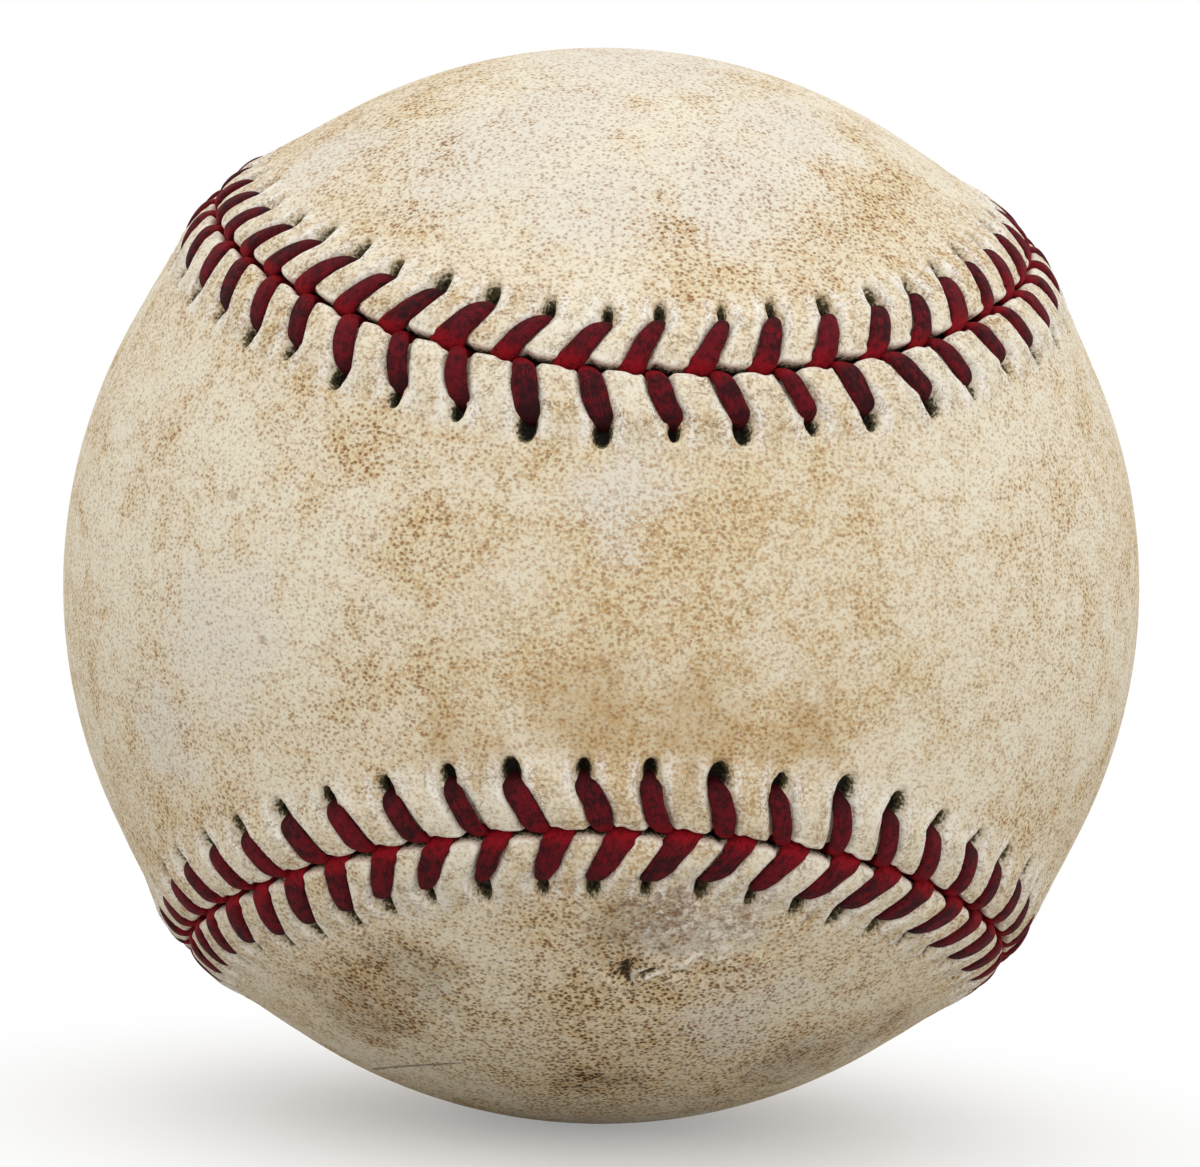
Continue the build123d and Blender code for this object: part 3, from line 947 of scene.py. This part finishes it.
def makeLeather():
    s = Shader(bpy.data.materials.new("worn_cowhide"))
    look = leatherLook
    p = s.place()
    wander = s.noise(p, *look["noise"]["wander"], out="Color")
    wander = s.vector("SUBTRACT", wander, (0.5, 0.5, 0.5))
    bent = s.vector("ADD", p, s.vector("SCALE", wander, look["wanderReach"]))

    def places(key):  # one soft mask over a list of places: worn ones, and the painted-light ones at the view's outer left and right
        spots = [onBall(x, z) + (radius,) for x, z, radius in look[key]]
        spots += [onBall(x, z, True) + (radius,) for x, z, radius in look.get(key + "Behind", ())]
        total = None
        for x, y, z, radius in spots:
            mask = 1 - s.vector("DISTANCE", bent, (x, y, z)).step(0.25 * radius, 1.15 * radius)
            total = mask if total is None else total.maths("MAXIMUM", mask)
        return total

    soiled, chalky, soot, tanned = (places(key) for key in ("soiled", "chalky", "grimy", "tanned"))
    scuffed, litSides, upper, lower = (
        places(key) for key in ("scuffed", "paleSides", "upperLobe", "lowerLobe")
    )
    hole, rubbedAndHighlight, cut, band = s.attributes("holeShade", "rubbedAndHighlight", "cutEdge", "seamBand")
    pale, torn = s.attributes("tornPale", "tornDarkAndShade")
    broad, patch, cloud, grain, fine, net, crease, chafe = (
        s.noise(p, *look["noise"][key])
        for key in ("broad", "patch", "cloud", "grain", "fine", "net", "crease", "chafe")
    )
    stretched = s.vector("MULTIPLY", p, look["poreStretch"])
    pore, poreColour = s.cells(stretched, look["poreScale"], randomness=0.95, out=(0, 1))
    poreKind = s.node("SeparateColor", Color=poreColour)

    # how dirty each place is, with less at the view's outer left and right as painted light, and the pores
    # that the dirt fills
    dirt = broad.step(0.36, 0.64) * 0.45 + patch.step(0.42, 0.7) * 0.55 + soiled * 0.48 - chalky * 0.35
    # less dirt at the view's outer left and right: painted light
    dirt = (dirt - 0.25 * litSides + (cloud - 0.5) * 1.2).clip()
    grimy = (soot * (0.5 + 1.0 * (cloud - 0.3))).clip()
    heavy = 0.1 * dirt + 0.06 * soot + 0.04 * lower - 0.06 * rubbedAndHighlight
    heavy = heavy + 0.14 * (poreKind - 0.5) + 0.3 * (grain - 0.5)
    pores = 1 - (pore - heavy + 0.6 * (fine - 0.5)).step(0.1, 0.46)
    specks = (net + 0.5 * heavy).step(0.46, 0.66)
    handled = s.vector("DISTANCE", bent, onBall(*look["handled"]))
    openness = 0.75 + 0.5 * handled.step(*look["handledReach"])
    strength = 0.3 + 0.38 * dirt + 0.1 * soot + 0.14 * lower + 0.14 * upper
    strength = strength * (1 - 0.3 * band) * openness
    colour = s.blend(dirt * 0.6, look["cream"], look["warm"])
    colour = s.blend(chalky * 0.78 * (1 - rubbedAndHighlight), colour, look["chalk"])
    colour = s.blend((tanned * (0.35 + 0.7 * (cloud - 0.3))).clip(), colour, look["tan"])
    colour = s.blend(grimy * 0.5, colour, look["grime"])
    # white from rubbing and painted highlight beside the stitches and on the lip
    colour = s.blend(rubbedAndHighlight * 0.85, colour, look["cleanWhiteAndHighlight"])
    colour = s.blend(specks * (0.28 + 0.34 * dirt + 0.2 * grimy), colour, look["speck"])
    poreTone = s.blend(0.5 * lower + 0.4 * soot, look["pore"], look["darkPore"])
    colour = s.blend((pores * strength).clip(), colour, poreTone)

    # creases beside the seam, then the scuff, the tear and the cut edge
    lines = 1 - (crease - 0.5).size().step(0.004, 0.022)
    lines = lines * band * cloud.step(0.38, 0.62)
    colour = s.blend(lines * 0.55, colour, look["crease"])
    for low, high, key in ((0.4, 0.6, "scuff"), (0.46, 0.34, "cleanWhiteAndHighlight"), (0.56, 0.66, "pore")):
        colour = s.blend(scuffed * chafe.step(low, high) * 0.6, colour, look[key])
    frayed = (pale + (net - 0.5) * 1.4).step(0.4, 0.8)
    colour = s.blend(frayed * 0.55, colour, look["cleanWhiteAndHighlight"])
    # the nick and cracks darkened: torn leather with painted shade in the sunk cracks
    nickedAndShaded = (torn + (net - 0.5) * 1.3).step(0.36, 0.8)
    colour = s.blend(nickedAndShaded * 0.85, colour, look["crack"])
    colour = s.blend(cut * 0.6, colour, look["cutPink"])

    # small spots, the scratch, and painted shade with some dirt in the stitch holes and slits
    for x, z, radius in look["spots"]:
        away = s.vector("DISTANCE", p, onBall(x, z))
        spot = 1 - (away + (fine - 0.5) * 0.5).step(0.4 * radius, radius)
        colour = s.blend(spot * 0.4, colour, look["pore"])
    scratched = scratchMask(s, p, net)
    colour = s.blend(scratched * 0.65, colour, look["darkPore"])
    # the stitch holes and slits darkened by holeShade: painted shade with some dirt
    ragged = hole + (net - 0.5) * 1.3 * hole.step(0.02, 0.4)
    colour = s.blend(ragged.step(0.1, 0.5), colour, look["holeOlive"])
    colour = s.blend(ragged.step(0.5, 0.95), colour, look["holeDark"])
    height = fine * 0.3 - (1 - pore.step(0.1, 0.5)) * 0.4 - lines * 0.8 - scratched
    normal = s.bump(height, 0.0001, 0.7)
    return s.finish(colour, 0.68 + 0.2 * dirt, normal, look["specular"])


threadLook = {
    "crimson": tone(120, 17, 30),
    "bright": tone(160, 12, 28),
    "soiled": tone(50, 19, 23),
    "dark": tone(30, 10, 14),
    "specular": 0.16,
}


def makeThread():
    s = Shader(bpy.data.materials.new("waxed_red_thread"))
    look = threadLook
    p = s.place()
    along, turn, near = s.attributes("threadAlong", "threadTurn", "seamNear")
    top, legSoil = s.attributes("threadOut", "legSoil")
    fibre = s.noise(s.node("CombineXYZ", X=along * 0.7, Y=turn * 8.0, Z=top * 4.0), 1.4, 3.0, 0.65, 0.5)
    blotch = s.noise(p, 1.3, 3.0, 0.6)
    fuzz = s.noise(p, 5.5, 2.0, 0.65)
    clot = s.noise(p, 2.6, 2.0, 0.6).step(0.5, 0.62)
    # dirt sits on top of the legs, more on some than on others
    worn = top.step(0.0, 0.8) * near.step(0.1, 1.0)
    smear = (blotch * 0.6 + fibre * 0.4).step(0.42, 0.58)
    soil = (worn * (0.25 + 0.75 * smear) * (0.3 + 1.1 * legSoil)).clip()
    # the thread's flanks darkened: painted shade
    edgeShade = turn.size().step(0.78, 1.0)
    colour = s.blend(near.step(0.1, 1.1), look["bright"], look["crimson"])
    colour = s.blend(fibre.step(0.46, 0.34) * 0.7, colour, look["bright"])
    colour = s.blend(soil * 0.85, colour, look["soiled"])
    # darker where the thread dives into the holes and runs under the cover: painted shade, with some dirt
    colour = s.blend(near.step(2.4, 3.4) * 0.7, colour, look["dark"])
    # grit and dirt on the thread, with painted shade along its flanks
    grit = fibre.step(0.54, 0.68) * 0.35 + fuzz.step(0.54, 0.68) * 0.3 + clot * 0.4 + edgeShade * 0.3
    colour = s.blend(grit.clip(), colour, look["dark"])
    normal = s.bump(fibre * 0.9 + fuzz * 0.5, 0.0002, 0.85)
    return s.finish(colour, 0.72 + 0.15 * blotch, normal, look["specular"])


# what lies under the cover, seen only when it is taken apart: two tones each, and a yarn's thickness
innerLook = {
    "cork": (tone(176, 128, 80), tone(104, 66, 36)),
    "black_rubber": (tone(34, 34, 35), tone(54, 53, 52)),
    "red_rubber": (tone(150, 46, 38), tone(112, 30, 26)),
    "gray_wool": (tone(134, 133, 130), tone(92, 90, 88)),
    "white_wool": (tone(226, 222, 210), tone(186, 180, 164)),
    "cotton_yarn": (tone(232, 228, 216), tone(188, 180, 160)),
    "cement": (tone(206, 184, 140), tone(178, 150, 104)),
    "yarnThickness": {"gray_wool": 1.3, "white_wool": 1.1, "cotton_yarn": 0.5},
    "yarnTurns": ((0.5, 0.3, 0.9), (1.2, -0.7, 0.2), (-0.4, 1.1, 0.7)),
}


def startInner(slot, name):  # a shader, its coordinates and the slot's two tones
    s = Shader(bpy.data.materials.new(name))
    return s, s.place(), *innerLook[slot]


def makeCork(slot):
    s, p, light, dark = startInner(slot, "granulated_cork")
    grain = s.node("SeparateColor", Color=s.cells(p, 0.8, out=1))
    border = 1 - s.cells(p, 0.8, "DISTANCE_TO_EDGE").step(0.02, 0.1)
    speck = s.noise(p, 3.0, 3.0, 0.6)
    colour = s.blend(grain * 0.6 + speck.step(0.4, 0.7) * 0.3, light, dark)
    colour = s.blend(border * 0.7, colour, dark)
    normal = s.bump(speck * 0.4 - border, 0.0002, 0.6)
    return s.finish(colour, 0.8 + 0.1 * speck, normal, 0.2)


def makeRubber(slot):
    s, p, light, dark = startInner(slot, "pill_" + slot)
    bloom = s.noise(p, 0.4, 4.0, 0.6)
    grit = s.noise(p, 4.0, 2.0, 0.6)
    colour = s.blend((bloom.step(0.4, 0.7) * 0.6 + grit.step(0.55, 0.7) * 0.3).clip(), light, dark)
    normal = s.bump(grit, 0.00008, 0.5)
    return s.finish(colour, 0.55 + 0.25 * bloom, normal, 0.35)


def makeYarn(slot):  # wound yarn: three crossing sets of turns
    s, p, light, dark = startInner(slot, "wound_" + slot)
    sway = s.noise(p, 0.12, 2.0, 0.5)
    which = s.noise(p, 0.09, 1.0, 0.5)
    layers = []
    for turn in innerLook["yarnTurns"]:
        tilted = s.node("Mapping", {"vector_type": "POINT"}, Vector=p, Rotation=turn)
        height = s.node("SeparateXYZ", Vector=tilted)
        phase = (height + sway * 6.0) * (2 * math.pi / innerLook["yarnThickness"][slot])
        layers.append(phase.maths("SINE") * 0.5 + 0.5)
    pick = which.step(0.44, 0.47)
    turns = layers[0] * pick + layers[1] * (1 - pick)
    pick = which.step(0.54, 0.57)
    turns = layers[2] * pick + turns * (1 - pick)
    fluff = s.noise(p, 5.0, 3.0, 0.7)
    # darker in the grooves between the turns: painted shade
    colour = s.blend((1 - turns.step(0.05, 0.6)) * 0.7 + fluff.step(0.5, 0.75) * 0.25, light, dark)
    normal = s.bump(turns + fluff * 0.4, 0.0003, 0.8)
    return s.finish(colour, 0.85 + 0.1 * fluff, normal, 0.15)


def makeCement(slot):
    s, p, light, dark = startInner(slot, "rubber_cement")
    flow = s.noise(p, 0.5, 4.0, 0.6, 1.0)
    colour = s.blend(flow.step(0.4, 0.65), light, dark)
    normal = s.bump(flow, 0.0002, 0.6)
    return s.finish(colour, 0.35 + 0.2 * flow, normal, 0.4)


makers = {
    "cork": makeCork,
    "black_rubber": makeRubber,
    "red_rubber": makeRubber,
    "gray_wool": makeYarn,
    "white_wool": makeYarn,
    "cotton_yarn": makeYarn,
    "cement": makeCement,
}
innerFinish = {slot: make(slot) for slot, make in makers.items()}
slotOf = {item["node"]: item["material_slot"] for item in frame["record"]["subparts"]}
for node, thing in frame["nodes"].items():
    if slotOf[node] in innerFinish:
        thing.data.materials.clear()
        thing.data.materials.append(innerFinish[slotOf[node]])
print("pill, windings and cement finished")

for things, material, slot in (
    (panels.values(), makeLeather(), "cover_leather"),
    (strands, makeThread(), "lacing_thread"),
):
    for thing in things:
        thing.data.materials.append(material)
        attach(thing, "root")
print("leather and thread finished")

# camera: found from the ball's outline and its seam, in pixels of the photograph's frame
shot = {
    "frame": (1200, 1167),
    "distance": 7.0,  # ball radii
    "turns": (-4.32, -1.60, -2.04),  # about Z, X and Y in that order
    "outlinePixels": 538.1,
    "middle": (601.2, 585.8),
    "sensor": 36,
    "nearest": 0.005,
}


def placeCamera():
    z, x, y = (math.radians(a) for a in shot["turns"])
    turn = Matrix.Rotation(y, 3, "Y") @ Matrix.Rotation(x, 3, "X") @ Matrix.Rotation(z, 3, "Z")
    right, ahead, up = (turn @ Vector(v) for v in ((1, 0, 0), (0, 1, 0), (0, 0, 1)))
    pose = Matrix((right, up, -ahead)).transposed().to_4x4()
    pose.translation = ahead * (-shot["distance"] * ballRadius * mm)
    data = bpy.data.cameras.new("camera")
    camera = addObject("camera", data)
    camera.matrix_world = pose
    wide, high = shot["frame"]
    focal = shot["outlinePixels"] * math.sqrt(shot["distance"] ** 2 - 1)
    data.sensor_fit = "HORIZONTAL"
    data.sensor_width = shot["sensor"]
    data.lens = focal * shot["sensor"] / wide
    data.shift_x = -(shot["middle"][0] - wide / 2) / wide
    data.shift_y = (shot["middle"][1] - high / 2) / wide
    data.clip_start = shot["nearest"]
    bpy.context.scene.camera = camera


placeCamera()

# studio: pale floor, white surroundings and soft lamps
studio = {
    "fillLight": 0.97,
    "floorSize": 1600,  # millimetres
    "floorShade": tone(188, 185, 180),  # as the ball sees it
    "floorSeen": tone(252, 252, 252),
    "floorGlow": (0.3, 0.7),  # under the ball, and how much more outside its shadow
    "shadowReach": (14, 60),  # millimetres
    "lamps": {  # place in metres, power in watts, size in metres
        "key_lamp": ((0.1, -0.45, 0.6), 0.38, 0.6),
        "front_lamp": ((0.25, -0.82, 0.2), 0.85, 0.7),
    },
}


def makeFloor():
    half = studio["floorSize"] / 2
    low = -ballRadius
    corners = [(-half, -half, low), (half, -half, low), (half, half, low), (-half, half, low)]
    floor = buildMesh("floor", np.array(corners), [np.array([[0, 1, 2, 3]])])
    s = Shader(bpy.data.materials.new("studio_floor"))
    seen = s.seen()
    away = s.vector("LENGTH", s.vector("MULTIPLY", s.place(), (1, 1, 0)))
    matt = s.node("BsdfDiffuse", Color=s.blend(seen, studio["floorShade"], studio["floorSeen"]))
    least, more = studio["floorGlow"]
    glow = (least + more * away.step(*studio["shadowReach"])) * seen
    surface = s.node("MixShader", Fac=glow, Shader=matt, Shader_001=s.node("Emission"))
    s.node("OutputMaterial", Surface=surface)
    floor.data.materials.append(s.owner)


def makeLight():
    scene = bpy.context.scene
    scene.view_settings.view_transform = "Standard"
    scene.world = bpy.data.worlds.new("studio")
    s = Shader(scene.world)
    fill = studio["fillLight"]
    sky = s.node("Background", Color=(1, 1, 1, 1), Strength=fill + (1 - fill) * s.seen())
    s.node("OutputWorld", Surface=sky)
    for name, (place, power, size) in studio["lamps"].items():
        lamp = bpy.data.lights.new(name, "AREA")
        lamp.energy = power
        lamp.size = size
        thing = addObject(name, lamp)
        thing.location = place
        thing.rotation_euler = Vector(place).to_track_quat("Z", "Y").to_euler()


makeFloor()
makeLight()
print("camera and studio placed")
